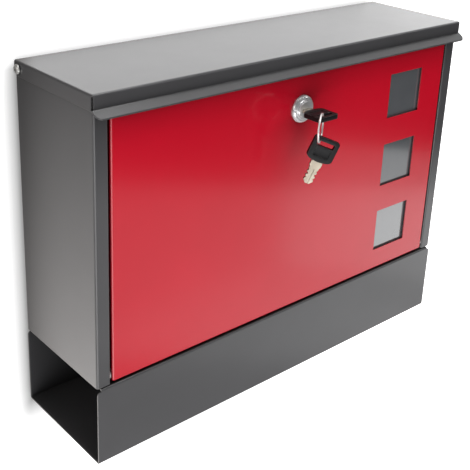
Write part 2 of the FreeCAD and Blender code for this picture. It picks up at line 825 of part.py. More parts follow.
def lockPlug():
    """Turning core: a collar in front, the key slot and a square tang for the cam."""
    body = newBody("lock_plug")
    pad(body, "front", "-lockLength", [circle("0", "0", "plugRadius")], "(lockLength + plugProud)")
    pad(body, "front", f"-{CAM_BACK}", [centred("(tangSide / 2)", "(tangSide / 2)")], "(camGap + camThick)")
    slot = centred("(bladeWidth / 2 + keyPlay)", "(bladeThick / 2 + keyPlay)")
    pocket(body, "front", "plugProud", [slot], "(bladeLength + keyPlay)")
    thread = circle("0", "0", "camScrewRadius")
    pocket(body, "front", "-(lockLength - camScrewEnd)", [thread], CAM_BACK)
    onLock(body)


def lockCam():
    """Flat cam with a square hole; its arm lies sideways when unlocked and stands up when locked."""
    body = newBody("lock_cam")
    half = "(camWidth / 2)"
    arm = rectangle("-camReach", f"-{half}", "camTail", half)
    pad(body, "front", f"-{CAM_BACK}", [arm], "camThick")
    pocket(body, "front", "-lockLength", [centred("(tangSide / 2)", "(tangSide / 2)")], "(camGap + camThick)")
    roundEdges(body, "y", [("-camReach", half), ("-camReach", f"-{half}")], "camTipRound")
    roundEdges(body, "y", [("camTail", half), ("camTail", f"-{half}")], "camTailRound")
    onLock(body)


def camWasher():
    body = newBody("cam_washer")
    ring = [circle("0", "0", "camWasherRadius"), circle("0", "0", "(camScrewRadius + lockPlay)")]
    pad(body, "front", f"-({CAM_BACK} + washerThick)", ring, "washerThick")
    onLock(body)


def camScrew():
    body = newBody("cam_screw")
    under = f"({CAM_BACK} + washerThick)"
    end = f"({under} + camHeadHeight)"
    profile = [
        ("0", "lockLength"),
        ("(camScrewRadius - camScrewPlay)", "lockLength"),
        ("(camScrewRadius - camScrewPlay)", under),
        ("camHeadRadius", under),
        ("camHeadRadius", f"({under} + camHeadRim)"),
        ("camHeadTop", end),
        ("0", end),
    ]
    revolve(body, profile, "V_Axis")
    onLock(body)


def keyBlade(name):
    """Double-sided key blade: a grooved flat bar with cuts, a shoulder and a tang in the bow."""
    body = newBody(name)
    half = "(bladeWidth / 2)"
    shoulder = "(shoulderWidth / 2)"
    tip = "-(shoulderLength + bladeLength)"
    rightEdge = [
        ("bladeTipHalf", tip),
        (half, f"({tip} + bladeTip)"),
        (half, "-shoulderLength"),
        (shoulder, "-shoulderLength"),
        (shoulder, "0"),
        (half, "0"),
        (half, "bladeTang"),
    ]
    leftEdge = [(f"-{x}", y) for x, y in reversed(rightEdge)]
    pad(body, "plan", "0", [rightEdge + leftEdge], "bladeThick", symmetric=True)
    groove = rectangle("-grooveHalf", f"({tip} - cutOver)", "grooveHalf", "-(shoulderLength + grooveStart)")
    pocket(body, "plan", "(bladeThick / 2)", [groove], "grooveDepth")
    pocket(body, "plan", "-(bladeThick / 2 - grooveDepth)", [groove], "grooveDepth")
    pocket(body, "plan", "bladeThick", keyCuts(half), "(2 * bladeThick)")
    roundEdges(body, "z", bothSides(shoulder, "-shoulderLength"), "shoulderRound")
    return body


def keyCuts(half):
    """Cuts on both edges of the blade, each with sloping flanks and a flat root."""
    cuts = []
    for index, depth in enumerate(CUT_DEPTHS):
        middle = f"-(shoulderLength + cutStart + {index} * cutPitch)"
        for side in ("-", ""):
            edge = f"{side}({half} + cutOver)"
            root = f"{side}({half} - {depth})"
            cuts.append(
                [
                    (edge, f"({middle} + cutHalf)"),
                    (root, f"({middle} + cutRootHalf)"),
                    (root, f"({middle} - cutRootHalf)"),
                    (edge, f"({middle} - cutHalf)"),
                ]
            )
    return cuts


def keyBow(name):
    """Moulded bow with a bellied inner edge, a slot for the ring and a shallow panel on each face."""
    body = newBody(name)
    half = "(bowWidth / 2)"
    quarter = "(bowWidth / 4)"
    outline = [
        (f"-{half}", "bowLength"),
        (f"-{half}", "bowBelly"),
        (f"-{quarter}", "bellyStep"),
        ("0", "0"),
        (quarter, "bellyStep"),
        (half, "bowBelly"),
        (half, "bowLength"),
    ]
    pad(body, "plan", "0", [outline], "bowThick", symmetric=True)
    roundEdges(body, "z", bothSides(half, "bowLength") + bothSides(half, "bowBelly"), "bowCorner")
    slotTop = "(bowLength - bowBar)"
    slotLow = "(bowLength - bowBar - bowSlotWidth)"
    slot = rectangle("-(bowSlotLength / 2)", slotLow, "(bowSlotLength / 2)", slotTop)
    pocket(body, "plan", "bowThick", [slot], "(2 * bowThick)")
    slotEdges = [(x, y) for y in (slotLow, slotTop) for x in ("-(bowSlotLength / 2)", "(bowSlotLength / 2)")]
    roundEdges(body, "z", slotEdges, "slotCorner")
    panelTop = f"({slotLow} - panelGap)"
    panel = rectangle("-(panelWidth / 2)", f"({panelTop} - panelHeight)", "(panelWidth / 2)", panelTop)
    pocket(body, "plan", "(bowThick / 2)", [panel], "bowRecess")
    pocket(body, "plan", "-(bowThick / 2 - bowRecess)", [panel], "bowRecess")
    tang = centred("(bladeWidth / 2)", "(bladeThick / 2)")
    pocket(body, "front", "cutOver", [tang], "(bladeTang + cutOver)")
    return body


def onKeySeat(body):
    """Seats a piece of the inserted key, drawn with the bow along +Y and its inner edge at y = 0."""
    turn = Rotation(Vector(0, 0, 1), 180)
    seat(body, "0", "-(bodyDepth + plugProud + shoulderLength)", LOCK_HEIGHT, turn)


def ringCentre():
    """Centre of the ring: it drops below the bow, so that its wire stands upright in the slot."""
    along = math.sqrt(value("ringRadius") ** 2 - value("ringDrop") ** 2)
    turn = math.radians(value("ringTurn"))
    bowEnd = "(bodyDepth + plugProud + shoulderLength + bowLength)"
    slotDepth = value(f"{bowEnd} - bowBar - bowSlotWidth / 2 - ringShift")
    x = value("ringOffset") - along * math.cos(turn)
    y = -slotDepth - along * math.sin(turn)
    return Vector(x, y, value(f"{LOCK_HEIGHT} - ringDrop"))


def keyRing():
    ring = doc.addObject("Part::Torus", "key_ring")
    ring.Label = "key_ring"
    ring.setExpression("Radius1", bound("ringRadius"))
    ring.setExpression("Radius2", bound("wireRadius"))
    parts.append(ring)
    centre = ringCentre()
    turn = Rotation(Vector(0, 0, 1), value("ringTurn")) * Rotation(Vector(1, 0, 0), 90)
    seat(ring, str(centre.x), str(centre.y), str(centre.z), turn)


def onRing(body):
    """Hangs a piece of the spare key on the bottom of the ring, by the end of the bow's slot."""
    turn = (
        Rotation(Vector(0, 0, 1), value("spareTurn"))
        * Rotation(Vector(1, 0, 0), 90)
        * Rotation(Vector(0, 0, 1), -value("spareTilt"))
    )
    reach = value("wireRadius + ringPlay")
    skew = math.radians(value("ringTurn - spareTurn - 90"))
    slant = value("bowThick / 2") * math.tan(abs(skew))
    across = reach + slant - value("bowSlotLength / 2")
    along = value("bowLength - bowBar") - reach - slant / 2
    foot = ringCentre() - Vector(0, 0, value("ringRadius")) - turn.multVec(Vector(across, along, 0))
    seat(body, str(foot.x), str(foot.y), str(foot.z), turn)


def checkAndExport():
    doc.recompute()
    for item in doc.Objects:
        if "Invalid" in item.State or "Error" in item.State:
            raise RuntimeError(f"{item.Name} failed: {item.State}")
    os.makedirs("parts", exist_ok=True)
    for part in parts:
        if part.Shape.isNull() or not part.Shape.isValid() or not part.Shape.Solids:
            raise RuntimeError(f"{part.Label} has no valid solid")
        part.Shape.exportStep(f"parts/{part.Label}.step")
        print(part.Label, round(part.Shape.Volume, 1))


writeSizes()
bodyShell()
floorPlate()
paperTube()
tubeRivets()
topRail()
slotPlate()
lid()
for sideName, sideSign in (("left", -1), ("right", 1)):
    lidScrew(f"lid_screw_{sideName}", sideSign)
    lidWasher(f"lid_washer_{sideName}", sideSign)
    lidNut(f"lid_nut_{sideName}", sideSign)
    doorPin(f"door_pin_{sideName}", sideSign)
doorPanel()
windowPane()
paneTape()
lockHousing()
lockNut()
lockPlug()
lockCam()
camWasher()
camScrew()
onKeySeat(keyBlade("key_blade"))
onKeySeat(keyBow("key_bow"))
keyRing()
onRing(keyBlade("spare_key_blade"))
onRing(keyBow("spare_key_bow"))
checkAndExport()
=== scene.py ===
import math

import bmesh
import bpy
from mathutils import Euler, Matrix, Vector


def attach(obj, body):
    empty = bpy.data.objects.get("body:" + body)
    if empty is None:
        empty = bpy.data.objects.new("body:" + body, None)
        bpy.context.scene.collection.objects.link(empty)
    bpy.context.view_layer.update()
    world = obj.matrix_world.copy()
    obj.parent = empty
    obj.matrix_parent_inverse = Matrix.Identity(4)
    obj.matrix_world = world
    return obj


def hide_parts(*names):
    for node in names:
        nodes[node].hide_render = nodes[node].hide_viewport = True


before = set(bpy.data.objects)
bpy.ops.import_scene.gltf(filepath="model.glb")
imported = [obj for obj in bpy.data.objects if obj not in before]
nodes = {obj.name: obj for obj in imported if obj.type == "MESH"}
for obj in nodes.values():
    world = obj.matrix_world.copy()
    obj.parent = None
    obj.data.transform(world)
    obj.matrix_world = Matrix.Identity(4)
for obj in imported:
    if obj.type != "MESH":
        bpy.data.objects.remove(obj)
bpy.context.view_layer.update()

print("frame loaded:", len(nodes), "nodes")


# helpers for node trees

def fill(node, values):
    for label, value in values.items():
        node.inputs[label].default_value = value


def place(tree, kind, x, y, **values):
    node = tree.nodes.new(kind)
    node.location = (x, y)
    fill(node, values)
    return node


def newGroup(name, inputs, outputs):
    tree = bpy.data.node_groups.new(name, "ShaderNodeTree")
    for label, number in inputs.items():
        socket = tree.interface.new_socket(label, in_out="INPUT", socket_type="NodeSocketFloat")
        socket.default_value = number
    for label, kind in outputs.items():
        tree.interface.new_socket(label, in_out="OUTPUT", socket_type=kind)
    start = place(tree, "NodeGroupInput", -900, 0)
    end = place(tree, "NodeGroupOutput", 700, 0)
    return tree, start, end


def useGroup(tree, group, x, y, **values):
    node = place(tree, "ShaderNodeGroup", x, y)
    node.node_tree = group
    fill(node, values)
    return node


def maths(tree, operation, x, y, first, second=None, clamp=False):
    node = place(tree, "ShaderNodeMath", x, y)
    node.operation = operation
    node.use_clamp = clamp
    for socket, source in zip(node.inputs, (first, second)):
        if source is None:
            continue
        if isinstance(source, (int, float)):
            socket.default_value = source
        else:
            tree.links.new(source, socket)
    return node.outputs[0]


def ramp(tree, x, y, source, stops):
    node = place(tree, "ShaderNodeValToRGB", x, y)
    for element, (position, grey) in zip(node.color_ramp.elements, stops):
        element.position = position
        element.color = (grey, grey, grey, 1)
    tree.links.new(source, node.inputs["Fac"])
    return node.outputs["Color"]


# shared effects

# how noise and edges become masks; the pairs are ramp stops
effects = {"specksFiner": 2.7, "specksShare": 0.4, "mattStops": ((0.12, 0.0), (0.88, 1.0)),
           "edgeGain": 9.0, "edgeStops": ((0.42, 0.0), (0.62, 1.0)), "edgeSamples": 6,
           "dustUpward": 3.0, "dustStops": ((0.15, 0.0), (0.90, 1.0)),
           "gapSamples": 6, "softSamples": 4}


# fine orange peel of baked powder: a height, and patches that are a little more matt
def coatGrainGroup():
    tree, start, end = newGroup("coatGrain", {"Grain": 900.0, "Patch": 14.0},
                                {"Height": "NodeSocketFloat", "Matt": "NodeSocketFloat"})
    where = place(tree, "ShaderNodeTexCoord", -700, 0)
    peel = place(tree, "ShaderNodeTexNoise", -450, 200, Detail=2.0, Roughness=0.5)
    specks = place(tree, "ShaderNodeTexNoise", -450, -50, Detail=1.0, Roughness=0.5)
    patches = place(tree, "ShaderNodeTexNoise", -450, -300, Detail=3.0, Roughness=0.6)
    finer = maths(tree, "MULTIPLY", -650, -150, start.outputs["Grain"], effects["specksFiner"])
    scales = ((peel, start.outputs["Grain"]), (specks, finer), (patches, start.outputs["Patch"]))
    for noise, scale in scales:
        tree.links.new(where.outputs["Object"], noise.inputs["Vector"])
        tree.links.new(scale, noise.inputs["Scale"])
    faint = maths(tree, "MULTIPLY", -200, 0, specks.outputs["Fac"], effects["specksShare"])
    height = maths(tree, "ADD", 0, 150, peel.outputs["Fac"], faint)
    matt = ramp(tree, -200, -300, patches.outputs["Fac"], effects["mattStops"])
    tree.links.new(height, end.inputs["Height"])
    tree.links.new(matt, end.inputs["Matt"])
    return tree


# mask of the outer edges, broken up by noise; Width is in metres
def edgeMaskGroup():
    tree, start, end = newGroup("edgeMask", {"Width": 0.0006, "Breaks": 160.0, "Amount": 1.0},
                                {"Mask": "NodeSocketFloat"})
    where = place(tree, "ShaderNodeTexCoord", -900, -250)
    bevel = place(tree, "ShaderNodeBevel", -650, 200)
    bevel.samples = effects["edgeSamples"]
    tree.links.new(start.outputs["Width"], bevel.inputs["Radius"])
    surface = place(tree, "ShaderNodeNewGeometry", -650, 0)
    dot = place(tree, "ShaderNodeVectorMath", -430, 150)
    dot.operation = "DOT_PRODUCT"
    tree.links.new(bevel.outputs["Normal"], dot.inputs[0])
    tree.links.new(surface.outputs["Normal"], dot.inputs[1])
    off = maths(tree, "SUBTRACT", -230, 150, 1.0, dot.outputs["Value"], clamp=True)
    sharp = maths(tree, "MULTIPLY", -50, 150, off, effects["edgeGain"], clamp=True)
    breaks = place(tree, "ShaderNodeTexNoise", -650, -250, Detail=4.0, Roughness=0.65)
    tree.links.new(where.outputs["Object"], breaks.inputs["Vector"])
    tree.links.new(start.outputs["Breaks"], breaks.inputs["Scale"])
    broken = ramp(tree, -400, -250, breaks.outputs["Fac"], effects["edgeStops"])
    both = maths(tree, "MULTIPLY", 150, 50, sharp, broken)
    scaled = maths(tree, "MULTIPLY", 350, 50, both, start.outputs["Amount"])
    tree.links.new(scaled, end.inputs["Mask"])
    return tree


# thin dust on what faces up
def dustGroup():
    tree, start, end = newGroup("dust", {"Amount": 1.0, "Scale": 60.0}, {"Mask": "NodeSocketFloat"})
    where = place(tree, "ShaderNodeTexCoord", -700, -250)
    facing = place(tree, "ShaderNodeNewGeometry", -700, 100)
    split = place(tree, "ShaderNodeSeparateXYZ", -500, 100)
    tree.links.new(facing.outputs["Normal"], split.inputs["Vector"])
    up = maths(tree, "POWER", -300, 100, split.outputs["Z"], effects["dustUpward"], clamp=True)
    cloud = place(tree, "ShaderNodeTexNoise", -450, -250, Detail=5.0, Roughness=0.7)
    tree.links.new(where.outputs["Object"], cloud.inputs["Vector"])
    tree.links.new(start.outputs["Scale"], cloud.inputs["Scale"])
    spots = ramp(tree, -200, -250, cloud.outputs["Fac"], effects["dustStops"])
    both = maths(tree, "MULTIPLY", 100, 0, up, spots)
    scaled = maths(tree, "MULTIPLY", 300, 0, both, start.outputs["Amount"])
    tree.links.new(scaled, end.inputs["Mask"])
    return tree


# fine lines along Y, as rolling or plating leaves
def brushGroup():
    tree, start, end = newGroup("brushLines", {"Along": 60.0, "Across": 2200.0}, {"Height": "NodeSocketFloat"})
    where = place(tree, "ShaderNodeTexCoord", -900, 0)
    stretch = place(tree, "ShaderNodeCombineXYZ", -700, 200)
    for axis, source in (("X", "Across"), ("Y", "Along"), ("Z", "Across")):
        tree.links.new(start.outputs[source], stretch.inputs[axis])
    scaled = place(tree, "ShaderNodeVectorMath", -500, 100)
    scaled.operation = "MULTIPLY"
    tree.links.new(where.outputs["Object"], scaled.inputs[0])
    tree.links.new(stretch.outputs["Vector"], scaled.inputs[1])
    lines = place(tree, "ShaderNodeTexNoise", -250, 100, Scale=1.0, Detail=3.0, Roughness=0.6)
    tree.links.new(scaled.outputs["Vector"], lines.inputs["Vector"])
    tree.links.new(lines.outputs["Fac"], end.inputs["Height"])
    return tree


# painted shade of gaps, hollows and inner corners, which darkens the colour; Reach is in metres, and the mask
# is 1 in the open
def creaseShadeGroup():
    tree, start, end = newGroup("creaseShade", {"Reach": 0.004, "Depth": 0.8}, {"Mask": "NodeSocketFloat"})
    shut = place(tree, "ShaderNodeAmbientOcclusion", -600, 100)
    shut.samples = effects["gapSamples"]
    tree.links.new(start.outputs["Reach"], shut.inputs["Distance"])
    closed = maths(tree, "SUBTRACT", -400, 100, 1.0, shut.outputs["AO"], clamp=True)
    deep = maths(tree, "MULTIPLY", -200, 100, closed, start.outputs["Depth"])
    unshaded = maths(tree, "SUBTRACT", 0, 100, 1.0, deep, clamp=True)
    tree.links.new(unshaded, end.inputs["Mask"])
    return tree


coatGrain = coatGrainGroup()
edgeMask = edgeMaskGroup()
dust = dustGroup()
brushLines = brushGroup()
creaseShade = creaseShadeGroup()
print("node groups made")


# materials

def newMaterial(name):
    material = bpy.data.materials.new(name)
    material.use_nodes = True
    tree = material.node_tree
    tree.nodes.clear()
    shader = place(tree, "ShaderNodeBsdfPrincipled", 500, 0)
    output = place(tree, "ShaderNodeOutputMaterial", 800, 0)
    tree.links.new(shader.outputs["BSDF"], output.inputs["Surface"])
    return material, tree, shader


def blendColour(tree, x, y, mask, first, second):
    node = place(tree, "ShaderNodeMix", x, y)
    node.data_type = "RGBA"
    for label, colour in (("A", first), ("B", second)):
        socket = [item for item in node.inputs if item.name == label and item.type == "RGBA"][0]
        if isinstance(colour, tuple):
            socket.default_value = (*colour, 1)
        else:
            tree.links.new(colour, socket)
    tree.links.new(mask, node.inputs["Factor"])
    return [item for item in node.outputs if item.type == "RGBA"][0]


def between(tree, x, y, mask, low, high):
    return maths(tree, "ADD", x + 180, y, maths(tree, "MULTIPLY", x, y, mask, high - low), low)


# what every finish has: its colour, a roughness that follows a mask, and a relief over softened edges
def finishSurface(tree, shader, look, colour, matt, height):
    soft = place(tree, "ShaderNodeBevel", 0, -450, Radius=look["edge"])
    soft.samples = effects["softSamples"]
    relief = place(tree, "ShaderNodeBump", 200, -300, Strength=look["relief"], Distance=look["depth"])
    tree.links.new(height, relief.inputs["Height"])
    tree.links.new(soft.outputs["Normal"], relief.inputs["Normal"])
    tree.links.new(colour, shader.inputs["Base Color"])
    tree.links.new(between(tree, -100, -150, matt, look["rough"], look["matt"]), shader.inputs["Roughness"])
    tree.links.new(relief.outputs["Normal"], shader.inputs["Normal"])


# the lighter edge colour of each coat is partly wear and partly a painted highlight along bends and edges
casingCoat = {"colour": (0.068, 0.067, 0.071), "deeper": (0.059, 0.058, 0.061),
              "lighterEdges": (0.15, 0.15, 0.15), "dusty": (0.20, 0.195, 0.19), "edgeAmount": 0.2, "dust": 0.10,
              "rough": 0.27, "matt": 0.33, "relief": 0.10, "depth": 0.0002, "edge": 0.0011, "film": 0.16}
doorCoat = {"colour": (0.60, 0.003, 0.020), "deeper": (0.54, 0.002, 0.016),
            "lighterEdges": (0.66, 0.12, 0.13), "dusty": (0.55, 0.14, 0.14), "edgeAmount": 0.2, "dust": 0.08,
            "rough": 0.18, "matt": 0.22, "relief": 0.08, "depth": 0.0002, "edge": 0.0003, "film": 0.13}
# what both coats share; gap and hollow are the reaches of their painted shade, and shade is the colour it
# darkens to
powder = {"grain": 1100.0, "patch": 16.0, "edgeWidth": 0.0007, "edgeBreaks": 190.0, "dustScale": 45.0,
          "weight": 1.0, "ior": 1.35, "gap": 0.0025, "gapDepth": 0.75, "hollow": 0.07, "hollowDepth": 1.0,
          "shade": (0.0, 0.0, 0.0)}


def powderCoat(name, look):
    material, tree, shader = newMaterial(name)
    grain = useGroup(tree, coatGrain, -500, -200, Grain=powder["grain"], Patch=powder["patch"])
    lighterEdges = useGroup(tree, edgeMask, -500, 100, Width=powder["edgeWidth"], Breaks=powder["edgeBreaks"],
                    Amount=look["edgeAmount"])
    dusty = useGroup(tree, dust, -500, 300, Amount=look["dust"], Scale=powder["dustScale"])
    gaps = useGroup(tree, creaseShade, -500, 500, Reach=powder["gap"], Depth=powder["gapDepth"])
    hollow = useGroup(tree, creaseShade, -500, 700, Reach=powder["hollow"], Depth=powder["hollowDepth"])
    base = blendColour(tree, -200, 200, grain.outputs["Matt"], look["colour"], look["deeper"])
    faded = blendColour(tree, 0, 250, dusty.outputs["Mask"], base, look["dusty"])
    # lighter edges: partly wear, partly a painted highlight along the bends and edges
    wornAndHighlit = blendColour(tree, 200, 200, lighterEdges.outputs["Mask"], faded, look["lighterEdges"])
    # painted shade: the colour goes towards black in gaps, in hollows and close under other parts
    unshaded = maths(tree, "MULTIPLY", 250, 500, gaps.outputs["Mask"], hollow.outputs["Mask"])
    colour = blendColour(tree, 350, 300, unshaded, powder["shade"], wornAndHighlit)
    finishSurface(tree, shader, look, colour, grain.outputs["Matt"], grain.outputs["Height"])
    fill(shader, {"IOR": powder["ior"], "Coat Weight": powder["weight"], "Coat IOR": powder["ior"],
                  "Coat Roughness": look["film"]})
    return material


zinc = {"bright": (0.70, 0.70, 0.68), "dull": (0.50, 0.50, 0.49), "metal": 0.85,
        "rough": 0.26, "matt": 0.46, "relief": 0.12}
aluminium = {"bright": (0.70, 0.71, 0.72), "dull": (0.52, 0.53, 0.54), "metal": 1.0,
             "rough": 0.30, "matt": 0.48, "relief": 0.1}
nickel = {"bright": (0.46, 0.41, 0.33), "dull": (0.30, 0.26, 0.21), "metal": 0.8,
          "rough": 0.34, "matt": 0.50, "relief": 0.2}
chrome = {"bright": (0.92, 0.92, 0.92), "dull": (0.74, 0.74, 0.75), "metal": 0.75,
          "rough": 0.24, "matt": 0.38, "relief": 0.05}
wire = {"bright": (0.95, 0.95, 0.94), "dull": (0.80, 0.80, 0.79), "metal": 0.6,
        "rough": 0.26, "matt": 0.38, "relief": 0.05}
# what all the metals share; their worn edges are brighter by the share "polish"
plating = {"along": 60.0, "across": 2200.0, "grain": 700.0, "patch": 120.0, "edgeWidth": 0.0002,
           "edgeBreaks": 600.0, "edgeAmount": 0.7, "polish": 1.15, "depth": 0.00005, "edge": 0.0002}


def platedMetal(name, look):
    material, tree, shader = newMaterial(name)
    lines = useGroup(tree, brushLines, -500, -150, Along=plating["along"], Across=plating["across"])
    smudge = useGroup(tree, coatGrain, -500, 150, Grain=plating["grain"], Patch=plating["patch"])
    lighterEdges = useGroup(tree, edgeMask, -500, 350, Width=plating["edgeWidth"], Breaks=plating["edgeBreaks"],
                    Amount=plating["edgeAmount"])
    stained = blendColour(tree, -150, 150, smudge.outputs["Matt"], look["bright"], look["dull"])
    polished = tuple(min(1.0, part * plating["polish"]) for part in look["bright"])
    colour = blendColour(tree, 100, 200, lighterEdges.outputs["Mask"], stained, polished)
    finishSurface(tree, shader, {**plating, **look}, colour, smudge.outputs["Matt"], lines.outputs["Height"])
    fill(shader, {"Metallic": look["metal"]})
    return material


pane = {"colour": (0.094, 0.099, 0.107), "cloudy": (0.112, 0.117, 0.125), "grain": 2600.0, "patch": 30.0,
        "rough": 0.11, "matt": 0.16, "relief": 0.05, "depth": 0.0001, "edge": 0.0003,
        "ior": 1.8, "film": 1.0, "filmIor": 1.9, "filmRough": 0.08}


def frostedPane():
    material, tree, shader = newMaterial("frostedPane")
    frost = useGroup(tree, coatGrain, -500, 0, Grain=pane["grain"], Patch=pane["patch"])
    colour = blendColour(tree, -100, 150, frost.outputs["Matt"], pane["colour"], pane["cloudy"])
    finishSurface(tree, shader, pane, colour, frost.outputs["Matt"], frost.outputs["Height"])
    fill(shader, {"IOR": pane["ior"], "Coat Weight": pane["film"], "Coat IOR": pane["filmIor"],
                  "Coat Roughness": pane["filmRough"]})
    return material


foam = {"colour": (0.022, 0.022, 0.023), "pore": (0.008, 0.008, 0.008), "grain": 1600.0, "patch": 400.0,
        "rough": 0.85, "matt": 0.95, "relief": 0.4, "depth": 0.0002, "edge": 0.0005}


def foamTape():
    material, tree, shader = newMaterial("foamTape")
    pores = useGroup(tree, coatGrain, -500, 0, Grain=foam["grain"], Patch=foam["patch"])
    colour = blendColour(tree, -100, 150, pores.outputs["Matt"], foam["colour"], foam["pore"])
    finishSurface(tree, shader, foam, colour, pores.outputs["Matt"], pores.outputs["Height"])
    return material


bowLook = {"colour": (0.006, 0.006, 0.007), "scuffedAndHighlit": (0.30, 0.29, 0.27), "grain": 2400.0, "patch": 180.0,
           "edgeWidth": 0.0005, "edgeBreaks": 260.0, "edgeAmount": 1.0, "specular": 0.18,
           "rough": 0.34, "matt": 0.46, "relief": 0.12, "depth": 0.0001, "edge": 0.0003}


def bowPlastic():
    material, tree, shader = newMaterial("bowPlastic")
    grain = useGroup(tree, coatGrain, -500, 0, Grain=bowLook["grain"], Patch=bowLook["patch"])
    scuffsAndRimLight = useGroup(tree, edgeMask, -500, 250, Width=bowLook["edgeWidth"], Breaks=bowLook["edgeBreaks"],
                      Amount=bowLook["edgeAmount"])
    # the light edges are partly scuffs and partly a painted rim highlight
    colour = blendColour(tree, -100, 150, scuffsAndRimLight.outputs["Mask"], bowLook["colour"], bowLook["scuffedAndHighlit"])
    finishSurface(tree, shader, bowLook, colour, grain.outputs["Matt"], grain.outputs["Height"])
    fill(shader, {"Specular IOR Level": bowLook["specular"]})
    return material


finishes = {
    "casingPaint": powderCoat("casingPaint", casingCoat),
    "doorPaint": powderCoat("doorPaint", doorCoat),
    "zincSteel": platedMetal("zincSteel", zinc),
    "rivetAluminium": platedMetal("rivetAluminium", aluminium),
    "frostedPane": frostedPane(),
    "foamTape": foamTape(),
    "lockChrome": platedMetal("lockChrome", chrome),
    "keyNickel": platedMetal("keyNickel", nickel),
    "ringWire": platedMetal("ringWire", wire),
    "bowPlastic": bowPlastic(),
}

paintedNodes = {
    "casingPaint": ["body_shell", "floor_plate", "slot_plate", "top_rail", "paper_tube", "lid"],
    "doorPaint": ["door_panel"],
    "zincSteel": ["lid_screw_left", "lid_screw_right", "lid_washer_left", "lid_washer_right", "lid_nut_left",
                  "lid_nut_right", "door_pin_left", "door_pin_right", "lock_nut", "lock_cam", "cam_washer",
                  "cam_screw"],
    "rivetAluminium": ["tube_rivets"],
    "frostedPane": ["window_pane"],
    "foamTape": ["pane_tape"],
    "lockChrome": ["lock_housing", "lock_plug"],
    "keyNickel": ["key_blade", "spare_key_blade"],
    "ringWire": ["key_ring"],
    "bowPlastic": ["key_bow", "spare_key_bow"],
}


def paintNodes():
    for finish, names in paintedNodes.items():
        for name in names:
            piece = nodes[name]
            if not piece.material_slots:
                piece.data.materials.append(None)
            for slot in piece.material_slots:
                slot.material = finishes[finish]


paintNodes()
print("finishes assigned")


# key bows: moulded once at the inserted key, then copied for the spare

keyBow = {"width": 0.0200, "length": 0.0190, "thick": 0.0036, "belly": 0.0022,
          "corner": 0.0020, "cornerSteps": 6, "edge": 0.0003, "edgeSteps": 3, "edgeAngle": 25,
          "smoothAngle": 40,
          "slotHalf": 0.00675, "slotLow": 0.0124, "slotTop": 0.0160, "slotCorner": 0.0008, "slotSteps": 4,
          "panelHalf": 0.0060, "panelLow": 0.0045, "panelTop": 0.0115, "panelRim": 0.00035,
          "panelDeep": 0.0004, "lines": (-0.0050, 0.0, 0.0050)}
# how close two places, and how steep a direction, have to be to count as the same and as upright
tests = {"near": 0.00005, "upright": 0.9}
bowSeats = {"moulded_bow": {"node": "key_bow", "body": "lock_core", "place": (0.0, -0.1059, 0.0595),
                            "turn": (0, 0, 180)},
            "moulded_bow_spare": {"node": "spare_key_bow", "body": "spare_key",
                                  "place": (-0.0094661, -0.1246358, 0.0282825), "turn": (90.0, 22.0, -34.0)}}


def soleSelect(piece):
    bpy.ops.object.select_all(action="DESELECT")
    piece.select_set(True)
    bpy.context.view_layer.objects.active = piece


# selects, in edit mode, the corners, edges or faces whose middle and direction pass the test
def pick(piece, kind, test):
    bpy.ops.mesh.select_mode(type=kind)
    bpy.ops.mesh.select_all(action="DESELECT")
    sheet = bmesh.from_edit_mesh(piece.data)
    if kind == "VERT":
        for corner in sheet.verts:
            corner.select = test(corner.co)
    elif kind == "EDGE":
        for edge in sheet.edges:
            first, second = (corner.co for corner in edge.verts)
            edge.select = test((first + second) / 2, (second - first).normalized())
    else:
        for face in sheet.faces:
            face.select = test(face.calc_center_median(), face.normal)
    sheet.select_flush_mode()
    bmesh.update_edit_mesh(piece.data)


def cutAlong(axis, spots):
    for spot in spots:
        bpy.ops.mesh.select_all(action="SELECT")
        point = (spot, 0, 0) if axis == "x" else (0, spot, 0)
        normal = (1, 0, 0) if axis == "x" else (0, 1, 0)
        bpy.ops.mesh.bisect(plane_co=point, plane_no=normal)


def near(first, second):
    return abs(first - second) < tests["near"]


def upright(way):
    return abs(way.z) > tests["upright"]


